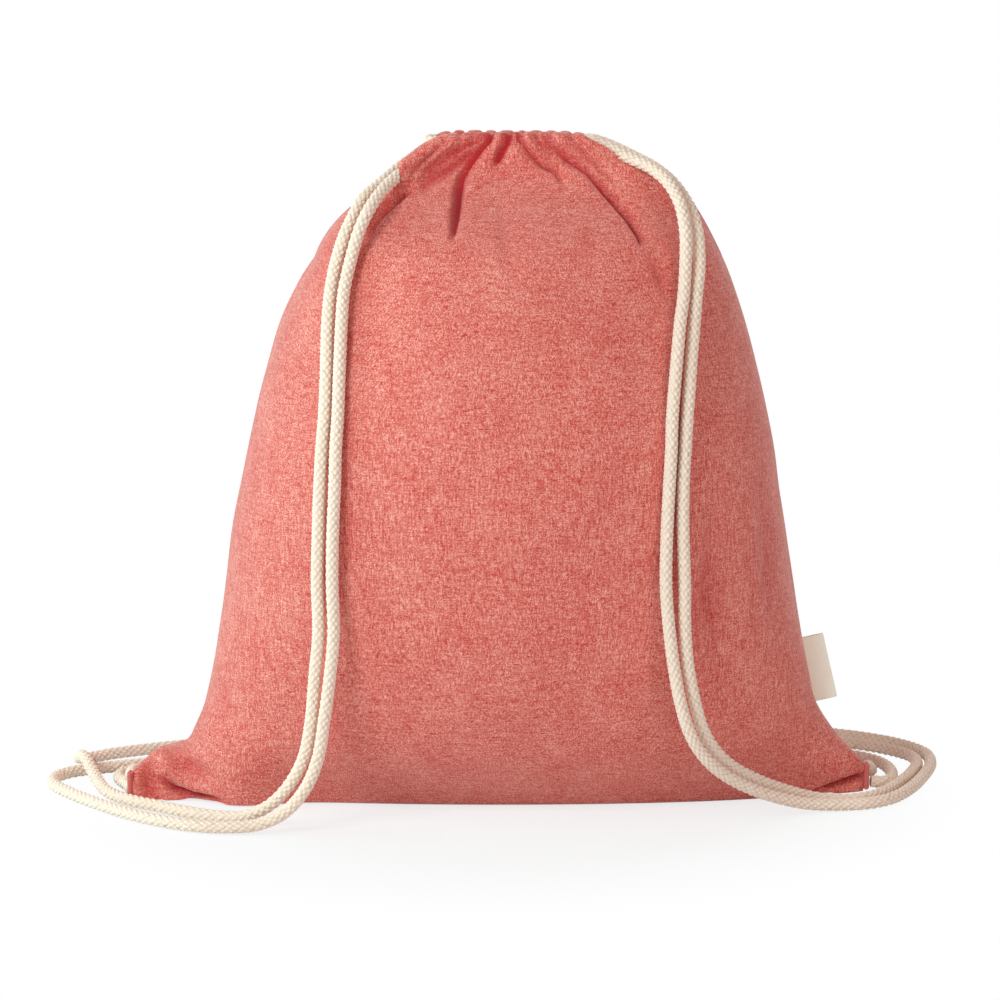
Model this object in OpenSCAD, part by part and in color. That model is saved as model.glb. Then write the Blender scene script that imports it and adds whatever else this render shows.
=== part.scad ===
// Drawstring sack of woven cotton, standing stuffed and drawn shut.
// Two panels are sewn together along the sides and the bottom. Their top edges are turned over into
// hems, and two braided cords run right round the mouth through both hems. Each cord comes out at one
// end of the mouth as a pair of strands, which hang down the front, lie in loops on the floor and are
// sewn into the bottom corner on their own side, so that each pair makes a shoulder strap.
// Millimetres, +Z up, the front faces -Y, the origin is on the floor under the middle of the sack.

/* [Sack] */
// Corner to corner along the bottom seam
sack_w = 372; // [340:2:400]
// Floor to the stitch line under the hems
neck_z = 320; // [290:2:350]
// Front to back where the sack is fullest
sack_d = 200; // [160:2:220]
// Front to back of the patch that the sack stands on
base_d = 60; // [44:2:76]
// Thickness of the cloth, a little fuller than the real weave
cloth_t = 1; // [0.7:0.1:1.3]
// How far the filling reaches towards the left corner
left_fill = 155; // [145:1:162]
// How far the filling reaches towards the right corner
right_fill = 160; // [148:1:165]
// How far the empty tip of the left corner is turned to the front
left_turn = 20; // [0:1:24]
// Floor crease of the turned corner, from the middle of the sack
left_crease = 152; // [146:1:158]

/* [Mouth] */
// Length of each hem as it is gathered on the cords
hem_len = 72; // [64:1:84]
// Height of a gathered hem
hem_h = 18; // [17:0.5:22]
// Thickness of a gathered hem
hem_t = 10; // [9.5:0.5:12]
// Slot left open between the two hems
mouth_gap = 8; // [6:0.5:12]
// How far the mouth stands to the right of the middle
mouth_x = 6; // [-6:1:12]
// Gathers across each panel
pleats = 6; // [4:1:8]
// How far a gather stands out of its panel
pleat_d = 4; // [2:0.5:5]

/* [Cords] */
// Diameter of the braided cord
cord_d = 6.5; // [5:0.1:7]
// Play between the two cords in a hem
cord_play = 0.8; // [0.4:0.1:1.2]

/* [Seams] */
// Width of the allowance inside a seam
seam_w = 8; // [6:0.5:10]
// Thickness of the overcast allowance
seam_t = 1.2; // [0.8:0.1:1.6]
// How far the bottom allowance stops short of a corner or its crease
seam_stop = 18; // [12:1:24]
// Height of the bar tack that holds the cord ends at a corner
tack_h = 14; // [12:0.5:16]
// Thickness of a bar tack
tack_t = 3.2; // [2.4:0.2:4]
// Front to back of a bar tack
tack_d = 6; // [5:0.5:8]

/* [Label] */
// Length of the label along the seam
label_h = 33; // [24:1:40]
// How far the label stands out of the seam
label_w = 11; // [8:0.5:16]
// Thickness of the label's ribbon
label_t = 0.5; // [0.4:0.1:0.7]
// Height of the label's lower end above the floor
label_z = 47; // [42:1:60]

/* [Hidden] */

// Clearances: between sewn edges, and between pieces that only lie against each other
seam_gap = 0.15;
fit = 0.3;
cord_fit = 0.4;

// Places that follow from the sizes
half_w = sack_w / 2;
half_d = sack_d / 2;
hem_y = (mouth_gap + hem_t) / 2;
hem_z = neck_z + fit;
hem_left = mouth_x - hem_len / 2;
hem_right = mouth_x + hem_len / 2;
cord_r = cord_d / 2;
cord_mid = hem_z + hem_h / 2;
cord_step = (cord_d + cord_play) / 2;
left_cord_z = cord_mid - cord_step;
right_cord_z = cord_mid + cord_step;
tack_x = half_w + fit + tack_t / 2;
tack_z = 1;
left_tack_y = -left_turn * 0.92;

// The neck closes a little outside the hems' ends, and its cloth stands under the hems' outer half
neck_rim = 3;
neck_left = hem_len / 2 - mouth_x + neck_rim;
neck_right = hem_len / 2 + mouth_x + neck_rim;
neck_y = mouth_gap / 2 + hem_t * 0.75;

// Outline of the sack seen from the front: share of the height, share of the half width
left_outline = [[0, 1], [0.06, 0.97], [0.095, 0.855], [0.15, 0.81], [0.3, 0.757], [0.47, 0.715],
                [0.7, 0.625], [0.82, 0.545], [0.9, 0.45], [0.95, 0.37], [1, neck_left / half_w]];
right_outline = [[0, 0.99], [0.04, 1], [0.09, 0.93], [0.16, 0.85], [0.28, 0.815], [0.47, 0.767],
                 [0.7, 0.69], [0.82, 0.628], [0.9, 0.567], [0.945, 0.515], [1, neck_right / half_w]];
// Fullness of the sack seen from the side: share of the height, share of the half depth
fullness = [[0, base_d / sack_d], [0.11, 0.66], [0.25, 0.88], [0.4, 0.98], [0.53, 1], [0.65, 0.95],
            [0.78, 0.82], [0.885, 0.62], [0.95, 0.42], [1, neck_y / half_d]];
// Growth of the gathers towards the mouth: share of the height, share of their depth
gathering = [[0, 0], [0.7, 0], [0.86, 0.55], [0.94, 1], [1, 0.4]];

// Levels at which the cloth is drawn, and the steps across a panel
levels = [0, 0.02, 0.045, 0.075, 0.1, 0.14, 0.2, 0.3, 0.42, 0.54, 0.66, 0.76, 0.84, 0.9, 0.945, 0.975, 1];
columns = 36;
ear_start = 60;

// Smooth curve through stations of [place, value]
function station_slope(p, i) =
    let (a = max(i - 1, 0), b = min(i + 1, len(p) - 1)) (p[b][1] - p[a][1]) / (p[b][0] - p[a][0]);
function station(p, u, i = 0) = (i >= len(p) - 2 || u <= p[i + 1][0]) ? i : station(p, u, i + 1);
function along(p, u) =
    let (i = station(p, u), h = p[i + 1][0] - p[i][0], t = (u - p[i][0]) / h,
         from = station_slope(p, i) * h, to = station_slope(p, i + 1) * h)
    (2 * t^3 - 3 * t^2 + 1) * p[i][1] + (t^3 - 2 * t^2 + t) * from
    + (3 * t^2 - 2 * t^3) * p[i + 1][1] + (t^3 - t^2) * to;
function ease(a, b, v) = let (t = min(max((v - a) / (b - a), 0), 1)) t * t * (3 - 2 * t);
function unit(v) = v / norm(v);
function outline(side, u) = half_w * along(side < 0 ? left_outline : right_outline, u);

// Point of the front panel's outer face at a share of the height and an angle from its middle
function cloth_point(u, angle) =
    let (side = angle < 0 ? -1 : 1, swing = abs(angle), reach = outline(side, u),
         filled = min(reach, side < 0 ? left_fill : right_fill),
         x = filled * sin(swing) + (reach - filled) * ease(ear_start, 90, swing),
         flatness = 1 - 0.75 * ease(0.8, 1, u),
         pleat = pleat_d * along(gathering, u) * cos(2 * pleats * (angle + 90)) * cos(angle),
         y = half_d * along(fullness, u) * pow(max(cos(angle), 0), flatness) + pleat)
    [side * x, -seam_gap - max(y, 0), u * neck_z];

// Left corner turned to the front past a crease that leans outwards as it rises
crease_lean = 0.65;
function turned(p, facing) =
    let (past = -p.x - left_crease - crease_lean * p.z)
    p - [0, facing * left_turn * ease(0, half_w - left_crease, past), 0];

// Front panel as rows of points: its bottom edge at the seam, the rim of the base, then upwards
edge_tuck = 0.99;
rows = len(levels);
angles = [for (j = [0 : columns]) -90 + 180 * j / columns];
outer = concat([[for (a = angles) let (p = cloth_point(0, a)) [p.x * edge_tuck, -seam_gap, 0]]],
               [for (u = levels) [for (a = angles) cloth_point(u, a)]]);
function cloth_normal(i, j) =
    unit(cross(outer[i][min(j + 1, columns)] - outer[i][max(j - 1, 0)],
               outer[min(i + 1, rows)][j] - outer[max(i - 1, 1)][j]));
function inner_point(i, j) =
    i == 0 ? outer[0][j] + [0, 0, cloth_t]
    : let (p = outer[i][j] - cloth_t * (i == 1 ? [sign(angles[j]), 0, -1] : cloth_normal(i, j)),
           edge = j == 0 || j == columns)
      [p.x, edge ? -seam_gap : min(p.y, -seam_gap), i == rows ? neck_z : p.z];
inner = [for (i = [0 : rows]) [for (j = [0 : columns]) inner_point(i, j)]];

// Closed wall between two grids of points with the same rows and columns. The cells' diagonals lean
// the same way from the middle to both sides.
module wall(face, back) {
    n = len(face) - 1;
    m = len(face[0]) - 1;
    size = (n + 1) * (m + 1);
    function at(i, j) = i * (m + 1) + j;
    function two(a, b, c, d) = [[a, b, c], [a, c, d]];
    function cell(a, b, c, d, lean) = lean ? two(b, c, d, a) : two(a, b, c, d);
    faces = [
        for (i = [0 : n - 1], j = [0 : m - 1])
            each cell(at(i, j), at(i + 1, j), at(i + 1, j + 1), at(i, j + 1), j >= m / 2),
        for (i = [0 : n - 1], j = [0 : m - 1])
            each cell(size + at(i, j), size + at(i, j + 1), size + at(i + 1, j + 1), size + at(i + 1, j),
                      j >= m / 2),
        for (j = [0 : m - 1])
            each two(at(0, j), at(0, j + 1), size + at(0, j + 1), size + at(0, j)),
        for (j = [0 : m - 1])
            each two(at(n, j + 1), at(n, j), size + at(n, j), size + at(n, j + 1)),
        for (i = [0 : n - 1])
            each two(at(i + 1, 0), at(i, 0), size + at(i, 0), size + at(i + 1, 0)),
        for (i = [0 : n - 1])
            each two(at(i, m), at(i + 1, m), size + at(i + 1, m), size + at(i, m))
    ];
    polyhedron([each for (row = face) row, each for (row = back) row], faces);
}

// Closed solid through rings of points, each ring turning the same way along the run
module skin(rings) {
    n = len(rings) - 1;
    m = len(rings[0]);
    function at(i, j) = i * m + j % m;
    faces = [
        for (i = [0 : n - 1], j = [0 : m - 1])
            each [[at(i, j), at(i + 1, j + 1), at(i + 1, j)], [at(i, j), at(i, j + 1), at(i + 1, j + 1)]],
        for (j = [1 : m - 2]) [at(0, 0), at(0, j + 1), at(0, j)],
        for (j = [1 : m - 2]) [at(n, 0), at(n, j), at(n, j + 1)]
    ];
    polyhedron([each for (ring = rings) ring], faces);
}

// Panels
module panel(facing) {
    wall([for (row = outer) [for (p = row) turned(p, facing)]],
         [for (row = inner) [for (p = row) turned(p, facing)]]);
}
module front_panel() {
    color("indianred") panel(1);
}
module back_panel() {
    color("indianred") mirror([0, 1, 0]) panel(-1);
}

// Seam allowances: thin strips inside the seams, with their joined edge against the cloth
side_seam_rows = [for (i = [6 : rows - 2]) i];
module side_seam(column) {
    side = column == 0 ? 1 : -1;
    lip = seam_t / 2;
    skin([for (i = side_seam_rows)
        let (n = cloth_normal(i, column), in = -unit([n.x, 0, n.z]),
             edge = [inner[i][column].x, 0, inner[i][column].z] + fit * in,
             ring = [edge, edge + seam_t * in + [0, lip, 0], edge + seam_w * in + [0, lip, 0],
                     edge + seam_w * in - [0, lip, 0], edge + seam_t * in - [0, lip, 0]])
        side < 0 ? [for (k = [4 : -1 : 0]) ring[k]] : ring]);
}
module left_side_seam() {
    color("firebrick") side_seam(0);
}
module right_side_seam() {
    color("firebrick") side_seam(columns);
}
module bottom_seam() {
    left_end = seam_stop - (left_turn > 0 ? left_crease : half_w);
    length = half_w - seam_stop - left_end;
    lip = seam_t / 2;
    color("firebrick") translate([left_end, 0, cloth_t + fit]) rotate([90, 0, 90]) linear_extrude(length)
        polygon([[0, 0], [lip, seam_t], [lip, seam_w], [-lip, seam_w], [-lip, seam_t]]);
}

// Hems: gathered tunnels with room for both cords, one above the other
hem_steps = 24;
ring_sides = 16;
squareness = 1 / 3;
tuck_share = 0.16;
function squared(v) = sign(v) * pow(abs(v), squareness);
function tuck(s) = tuck_share * (1 - cos(360 * pleats * s)) / 2;
function hem_ring(s) =
    [for (k = [0 : ring_sides - 1])
        let (a = 360 * k / ring_sides, up = squared(sin(a)), out = squared(cos(a)))
        [hem_left + hem_len * s,
         -hem_y - out * hem_t / 2 * (1 - (out > 0 ? tuck(s) : 0)),
         cord_mid + up * hem_h / 2 * (1 - (up > 0 ? tuck(s) : 0))]];
function bore_ring(s) =
    [for (k = [0 : ring_sides - 1])
        let (a = 360 * k / ring_sides)
        [hem_left + hem_len * s,
         -hem_y - squared(cos(a)) * (cord_r + cord_fit),
         cord_mid + squared(sin(a)) * (cord_r + cord_step + cord_fit)]];
module hem() {
    n = hem_steps;
    m = ring_sides;
    size = (n + 1) * m;
    function at(i, j) = i * m + j % m;
    function two(a, b, c, d) = [[a, b, c], [a, c, d]];
    faces = [
        for (i = [0 : n - 1], j = [0 : m - 1])
            each two(at(i, j), at(i, j + 1), at(i + 1, j + 1), at(i + 1, j)),
        for (i = [0 : n - 1], j = [0 : m - 1])
            each two(size + at(i, j), size + at(i + 1, j), size + at(i + 1, j + 1), size + at(i, j + 1)),
        for (j = [0 : m - 1])
            each two(at(0, j), size + at(0, j), size + at(0, j + 1), at(0, j + 1)),
        for (j = [0 : m - 1])
            each two(at(n, j + 1), size + at(n, j + 1), size + at(n, j), at(n, j))
    ];
    polyhedron([for (i = [0 : n]) each hem_ring(i / n), for (i = [0 : n]) each bore_ring(i / n)], faces);
}
module front_hem() {
    color("indianred") hem();
}
module back_hem() {
    color("indianred") mirror([0, 1, 0]) hem();
}

// Cords inside the hems: straight runs, and the bight that turns from one hem into the other
module cord_run(side, level) {
    color("antiquewhite") translate([hem_left, side * hem_y, level]) rotate([0, 90, 0])
        cylinder(d = cord_d, h = hem_len, $fn = 48);
}
module cord_bight(end, level) {
    turn_r = cord_d * 0.77;
    straight = 2 * (hem_y - turn_r);
    color("antiquewhite") translate([end > 0 ? hem_right + fit : hem_left - fit, 0, level])
        rotate([0, 0, end > 0 ? 0 : 180]) {
            for (side = [-1, 1]) translate([0, side * straight / 2, 0])
                rotate([0, 0, side < 0 ? -90 : 0]) rotate_extrude(angle = 90, $fn = 64)
                    translate([turn_r, 0]) circle(d = cord_d, $fn = 48);
            translate([turn_r, straight / 2, 0]) rotate([90, 0, 0])
                cylinder(d = cord_d, h = straight, $fn = 48);
        }
}
module left_cord_front_run() {
    cord_run(-1, left_cord_z);
}
module left_cord_rear_run() {
    cord_run(1, left_cord_z);
}
module left_cord_bight() {
    cord_bight(1, left_cord_z);
}
module right_cord_front_run() {
    cord_run(-1, right_cord_z);
}
module right_cord_rear_run() {
    cord_run(1, right_cord_z);
}
module right_cord_bight() {
    cord_bight(-1, right_cord_z);
}

// Strands of the straps: out of the hem's end, over the shoulder, down the front of the sack, round
// the floor in loops and into the corner
left_front_route = [
    [-30.3, -9, 325.65], [-34, -9, 325.65], [-39, -10, 324.7], [-45, -13.7, 321.2], [-51, -19.8, 316.8],
    [-56.2, -28, 312.6], [-60.8, -37.2, 307.4], [-65.2, -44.6, 300.6], [-69.2, -48.4, 291.4], [-73, -51, 278], [-76, -56.5, 264],
    [-77, -63.5, 250], [-77.5, -70, 236], [-78, -75.5, 220], [-78.5, -79.5, 205], [-79.5, -82.5, 190],
    [-80, -85, 172], [-81, -86, 150], [-81.5, -86, 125], [-81, -86, 100], [-83, -86, 78], [-86, -86, 56],
    [-89, -86, 38], [-95, -86, 23], [-105, -86.5, 11], [-118, -87, 4.7], [-133, -87.5, 3.4],
    [-152, -84, 3.4], [-173, -71, 3.4], [-190, -55, 3.4], [-205, -37, 3.4], [-219, -18, 3.4],
    [-229, 0, 3.4], [-230, 15, 3.4], [-223, 27, 3.4], [-210, 35, 3.4], [-195, 42, 3.4], [-178, 50, 3.4],
    [-162, 56, 3.4], [-148, 57, 3.4], [-138, 53, 3.4], [-134, 43, 3.4], [-138, 33, 3.4], [-148, 29, 3.4],
    [-162, 29, 3.4], [-176, 31.5, 3.4], [-188, 31, 3.4], [-196, 24.5, 3.4], [-197, 14, 3.4],
    [-193, 3, 3.5], [-189.2, -6.5, 3.8], [-188, -15, 4.2]];
left_rear_route = [
    [-30.3, 9, 325.65], [-35, 9, 325.65], [-41.8, 5.8, 324.8], [-49, -2, 321], [-55, -10, 316.5],
    [-61, -19.5, 311.8], [-67.6, -30.6, 306.6], [-72, -38, 298.8], [-76.3, -43.3, 289.5], [-80.5, -47, 276],
    [-83, -52, 262], [-84, -59, 249], [-84.3, -65.5, 235], [-84.6, -71.5, 219], [-85.3, -75.5, 204],
    [-86.5, -78.5, 189], [-87.5, -81, 171], [-88.3, -82, 150], [-89, -82, 125], [-88.5, -82.5, 100],
    [-90.5, -82.5, 78], [-92.5, -82, 56], [-96, -81, 38], [-103, -79, 23.5], [-113, -76, 12],
    [-126, -72, 5], [-140, -66, 3.4], [-155, -58, 3.4], [-171, -46, 3.4], [-187, -33.5, 3.4],
    [-200, -15.5, 3.4], [-208, 6, 5.6], [-216, 27, 11.3], [-221, 44, 7], [-218, 58, 3.4], [-206, 68, 3.4],
    [-187, 79, 3.4], [-165, 89, 3.4], [-140, 92, 3.4], [-117, 86, 3.4], [-104, 70, 3.4], [-106, 51, 3.4],
    [-120, 35, 3.4], [-138, 23, 3.4], [-155, 20.5, 3.4], [-170, 20.5, 3.6], [-180.5, 18, 5.6],
    [-186.8, 10, 8.7], [-188.5, -1, 10.5], [-188, -15, 11]];
right_front_route = [
    [42.3, -9, 332.95], [47, -9, 332.95], [54.5, -10, 330.6], [63.5, -13.3, 326], [75, -20.5, 320.9],
    [83, -29.3, 314.3], [88, -38.8, 305.7], [90, -44.9, 297], [90.8, -48.4, 288], [90.5, -51.5, 275], [89.5, -57, 262],
    [87.5, -64.5, 249], [86, -71, 235], [84.5, -76.5, 220], [83.3, -80.5, 205], [82.8, -84, 190],
    [81.8, -86.5, 172], [80.8, -88, 150], [80.5, -88, 125], [82, -88, 105], [84.5, -88, 85],
    [88, -87.5, 66], [92.5, -86, 51], [99, -82.5, 39], [109, -76, 28], [123, -66, 18], [139, -55, 10],
    [155, -47, 5], [171, -42.5, 3.4], [186, -39, 3.4], [199, -28, 3.4], [210, -8, 3.4], [219, 17, 3.4],
    [226, 44, 3.4], [226, 68, 3.4], [217, 87, 3.4], [202, 102, 3.4], [182, 114, 3.4], [158, 120, 3.4],
    [136, 113, 3.4], [122, 97, 3.4], [119, 76, 3.4], [128, 57, 3.4], [146, 46, 3.4], [166, 42, 3.4],
    [181, 40.5, 3.4], [189.5, 34.5, 3.4], [192.8, 24, 5], [190, 12.5, 10], [188.3, 3.8, 11.5]];
right_rear_route = [
    [42.3, 9, 332.95], [47, 9, 332.95], [57, 7, 329.5], [66.5, 2.3, 325.2], [76.5, -5.5, 320.4],
    [84.3, -15.5, 314.8], [90.2, -26, 307.8], [94.4, -35.2, 300], [96.9, -42, 290], [97.5, -47, 275], [96, -52.5, 262],
    [94.7, -59, 249], [93.3, -65.5, 235], [92, -71.5, 220], [90.8, -76, 205], [89.8, -80, 190],
    [88.8, -83, 172], [88.8, -84.5, 150], [89.8, -84.5, 125], [90, -84.5, 105], [91.5, -84, 85],
    [95, -82, 66.5], [99, -78.5, 52], [105, -73.5, 40], [114.5, -65.5, 29], [128.5, -54.5, 19],
    [143.5, -43.5, 11], [158, -36, 5.5], [172, -33, 3.4], [184, -29, 3.4], [194.5, -18, 3.4],
    [204, 0, 3.4], [213, 22, 3.4], [219, 45, 3.4], [217.5, 63, 3.4], [207, 78, 3.4], [191, 91, 3.4],
    [173, 99, 3.4], [158, 99, 3.4], [147.5, 94.5, 3.4], [143, 84, 3.4], [147.5, 73.5, 3.4],
    [158, 69, 3.4], [174, 68, 3.4], [189, 62, 3.4], [199.5, 49, 3.4], [203.5, 33, 3.4], [203, 17, 3.4],
    [201, 7, 4], [197, 1.5, 4.4], [190.4, 0, 5]];

// Smooth route through hand-placed points, with a ring about every two diameters
ring_step = 2 * cord_d;
function route_point(a, b, c, d, t) =
    b + t / 2 * ((c - a) + t * ((2 * a - 5 * b + 4 * c - d) + t * (3 * (b - c) + d - a)));
function route(p) =
    let (n = len(p) - 1)
    [for (i = [0 : n - 1]) let (steps = max(1, round(norm(p[i + 1] - p[i]) / ring_step)))
        for (k = [0 : steps - 1])
            route_point(p[max(i - 1, 0)], p[i], p[i + 1], p[min(i + 2, n)], k / steps),
     p[n]];
function heading(p, i) = unit(p[min(i + 1, len(p) - 1)] - p[max(i - 1, 0)]);
function square_to(v, t) = unit(v - (v * t) * t);
cord_sides = 8;
module strand(points) {
    p = route(points);
    sides = [for (i = 0, v = square_to([0, 0, 1], heading(p, 0)); i < len(p);
                  i = i + 1, v = i < len(p) ? square_to(v, heading(p, i)) : v) v];
    color("antiquewhite") skin([for (i = [0 : len(p) - 1])
        let (v = sides[i], w = cross(v, heading(p, i)))
        [for (k = [0 : cord_sides - 1]) let (a = 360 * (k + 0.5) / cord_sides)
            p[i] + cord_r * (cos(a) * v + sin(a) * w)]]);
}
module left_strap_front_strand() {
    strand(left_front_route);
}
module left_strap_rear_strand() {
    strand(left_rear_route);
}
module right_strap_front_strand() {
    strand(right_front_route);
}
module right_strap_rear_strand() {
    strand(right_rear_route);
}

// Bar tacks: upright bars of thread over the seam at the corners, which hold the ends of the strands
module corner_tack(side, y) {
    round = tack_t / 2;
    color("brown") translate([side * tack_x, y, tack_z]) linear_extrude(tack_h) {
        square([tack_t, tack_d - tack_t], center = true);
        for (end = [-1, 1]) translate([0, end * (tack_d / 2 - round)]) circle(round, $fn = 32);
    }
}
module left_corner_tack() {
    corner_tack(-1, left_tack_y);
}
module right_corner_tack() {
    corner_tack(1, 0);
}

// Label: a ribbon folded back on itself, sewn into the right side seam by its two ends
right_edge = [for (u = levels) [u * neck_z, outline(1, u)]];
function seam_at(z) = [lookup(z, right_edge), 0, z];
label_foot = seam_at(label_z);
label_top = seam_at(label_z + label_h);
label_tilt = atan2(label_foot.x - label_top.x, label_h);
label_bead = 0.7;
ply_gap = 0.3;
label_out = [cos(label_tilt), 0, sin(label_tilt)];
// The seam between the label's ends stands this far beyond the line that joins them
seam_bulge = max([0, for (e = right_edge) if (e[0] > label_z && e[0] < label_z + label_h)
    ([e[1], 0, e[0]] - label_foot) * label_out]);
label_axis = label_foot + (label_bead + fit + seam_bulge) * label_out;
module side_label() {
    thick = 2 * label_t + ply_gap;
    fold = label_w - thick / 2;
    color("wheat") translate(label_axis) rotate([0, -label_tilt, 0])
        linear_extrude(norm(label_top - label_foot)) {
            circle(label_bead, $fn = 32);
            difference() {
                union() {
                    translate([0, -thick / 2]) square([fold, thick]);
                    translate([fold, 0]) circle(thick / 2, $fn = 32);
                }
                translate([label_bead, -ply_gap / 2]) square([fold - label_bead, ply_gap]);
            }
        }
}

front_panel();
back_panel();
left_side_seam();
right_side_seam();
bottom_seam();
front_hem();
back_hem();
left_cord_front_run();
left_cord_rear_run();
left_cord_bight();
right_cord_front_run();
right_cord_rear_run();
right_cord_bight();
left_strap_front_strand();
left_strap_rear_strand();
right_strap_front_strand();
right_strap_rear_strand();
left_corner_tack();
right_corner_tack();
side_label();
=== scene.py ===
from math import cos, exp, floor, pi, radians, sin, tanh
import bmesh
import bpy
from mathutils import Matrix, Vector, noise


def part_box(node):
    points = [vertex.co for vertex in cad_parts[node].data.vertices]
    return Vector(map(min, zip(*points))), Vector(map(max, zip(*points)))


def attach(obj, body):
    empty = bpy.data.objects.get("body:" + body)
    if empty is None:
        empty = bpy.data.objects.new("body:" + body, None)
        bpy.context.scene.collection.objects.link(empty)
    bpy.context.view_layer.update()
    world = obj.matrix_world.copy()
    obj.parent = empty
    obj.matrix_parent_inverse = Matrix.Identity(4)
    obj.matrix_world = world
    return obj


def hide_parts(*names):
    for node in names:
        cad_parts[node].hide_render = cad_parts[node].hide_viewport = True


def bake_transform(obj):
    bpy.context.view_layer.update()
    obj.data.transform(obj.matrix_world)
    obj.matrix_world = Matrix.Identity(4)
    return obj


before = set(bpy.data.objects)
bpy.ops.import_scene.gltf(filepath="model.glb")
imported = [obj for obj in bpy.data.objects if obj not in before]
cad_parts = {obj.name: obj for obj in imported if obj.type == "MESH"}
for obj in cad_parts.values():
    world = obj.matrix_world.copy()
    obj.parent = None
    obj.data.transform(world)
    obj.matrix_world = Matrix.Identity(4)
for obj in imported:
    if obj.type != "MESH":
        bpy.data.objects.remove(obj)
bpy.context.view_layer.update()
scene = bpy.context.scene
scene.view_settings.view_transform = "Standard"

# Camera: a long lens a little above the sack, looking down at it by nine and a half degrees.
camera_y, camera_z = -1873.9, 465.0
camera_drop = radians(9.5)
lens = bpy.data.cameras.new("camera")
lens.lens = 134.9
lens.sensor_width = 36
camera = bpy.data.objects.new("camera", lens)
camera.location = (0, camera_y / 1000, camera_z / 1000)
camera.rotation_euler = (pi / 2 - camera_drop, 0, 0)
scene.collection.objects.link(camera)
scene.camera = camera

# Shoulder straps: natural cotton cord, braided from twelve strands, six winding each way.
# Each cord leaves one end of the mouth as two strands, which hang down the front, lie in loops on the
# floor and are sewn into the bottom corner on their own side.
cord_radius = 3.25
braid_strands = 6
braid_lead = 24.0
braid_depth = 0.85
fuzz_height, fuzz_round, fuzz_along = 0.06, 6, 0.9
cord_step = 0.62
cord_sides = 40
spline_steps = 12
path_every = 6


def even_route(points, step):
    """Smooth route through given points in millimetres, cut into even steps."""
    knots = [Vector(p) for p in points]
    last = len(knots) - 1
    fine = []
    for i in range(last):
        a, b, c, d = knots[max(i - 1, 0)], knots[i], knots[i + 1], knots[min(i + 2, last)]
        for k in range(spline_steps):
            t = k / spline_steps
            bend = (2 * a - 5 * b + 4 * c - d) + t * (3 * (b - c) + d - a)
            fine.append(b + 0.5 * t * ((c - a) + t * bend))
    fine.append(knots[-1])
    reach = [0.0]
    for a, b in zip(fine, fine[1:]):
        reach.append(reach[-1] + (b - a).length)
    count = max(4, round(reach[-1] / step))
    route, i = [], 0
    for k in range(count + 1):
        goal = reach[-1] * k / count
        while i < len(fine) - 2 and reach[i + 1] < goal:
            i += 1
        share = (goal - reach[i]) / max(reach[i + 1] - reach[i], 1e-9)
        route.append(fine[i].lerp(fine[i + 1], min(max(share, 0), 1)))
    return route, reach[-1]


def braid_crown(turn, along):
    """Height of the braid's surface, 0 in the valleys and 1 on the strands."""
    a = braid_strands * (turn + along / braid_lead)
    b = braid_strands * (turn - along / braid_lead)
    if (floor(a) + floor(b)) % 2:
        a, b = b, a
    across = 2 * (a - floor(a)) - 1
    length = 2 * (b - floor(b)) - 1
    return max(1 - across**2, 0) * max(1 - length**4, 0)


def piece(name, bm, material, smooth=True):
    """Object at the origin from a finished bmesh."""
    mesh = bpy.data.meshes.new(name)
    for face in bm.faces:
        face.smooth = smooth
    bm.to_mesh(mesh)
    bm.free()
    mesh.materials.append(material)
    obj = bpy.data.objects.new(name, mesh)
    scene.collection.objects.link(obj)
    return obj


def braided_cord(name, points, squeeze=1.0):
    """Braided tube along a route in millimetres, its centreline and its length in metres."""
    route, length = even_route(points, cord_step)
    rings = len(route) - 1
    side = Vector((0, 0, 1)) if abs((route[1] - route[0]).normalized().z) < 0.9 else Vector((1, 0, 0))
    frames = []
    for i, p in enumerate(route):
        heading = (route[min(i + 1, rings)] - route[max(i - 1, 0)]).normalized()
        side = (side - heading * side.dot(heading)).normalized()
        frames.append((p, side.copy(), heading.cross(side)))
    bm = bmesh.new()
    bmesh.ops.create_grid(bm, x_segments=cord_sides, y_segments=rings, size=1)
    crown_layer = bm.verts.layers.float.new("crown")
    lay = bm.loops.layers.uv.new("lay")
    place = {}
    for v in bm.verts:
        turn = (v.co.x + 1) / 2
        i = round((v.co.y + 1) / 2 * rings)
        along = length * i / rings
        crown = braid_crown(turn, along)
        a, b = cos(2 * pi * turn), sin(2 * pi * turn)
        fuzz = fuzz_height * noise.noise(Vector((fuzz_round * a, fuzz_round * b, along * fuzz_along)))
        radius = squeeze * (cord_radius - braid_depth * (1 - crown) + fuzz)
        p, u, w = frames[i]
        v.co = (p + radius * (a * u + b * w)) / 1000
        v[crown_layer] = crown**0.6
        place[v] = (turn, along / 1000)
    for face in bm.faces:
        for loop in face.loops:
            loop[lay].uv = place[loop.vert]
    bmesh.ops.remove_doubles(bm, verts=bm.verts, dist=1e-6)
    bmesh.ops.holes_fill(bm, edges=[e for e in bm.edges if e.is_boundary], sides=0)
    bmesh.ops.recalc_face_normals(bm, faces=bm.faces)
    obj = piece(name, bm, cotton_cord)
    return obj, [p / 1000 for p in route[::path_every]] + [route[-1] / 1000], length / 1000


def new_material(name):
    """Material with its nodes, links and shader."""
    material = bpy.data.materials.new(name)
    material.use_nodes = True
    tree = material.node_tree
    return material, tree.nodes, tree.links, tree.nodes["Principled BSDF"]


def tones(value, first, last, middle=None):
    """Colours over a value, from two or three stops of place and colour."""
    ramp = nodes.new("ShaderNodeValToRGB")
    low, high = ramp.color_ramp.elements
    low.position, low.color = first
    high.position, high.color = last
    if middle:
        ramp.color_ramp.elements.new(middle[0]).color = middle[1]
    links.new(value, ramp.inputs["Fac"])
    return ramp.outputs["Color"]


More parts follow.
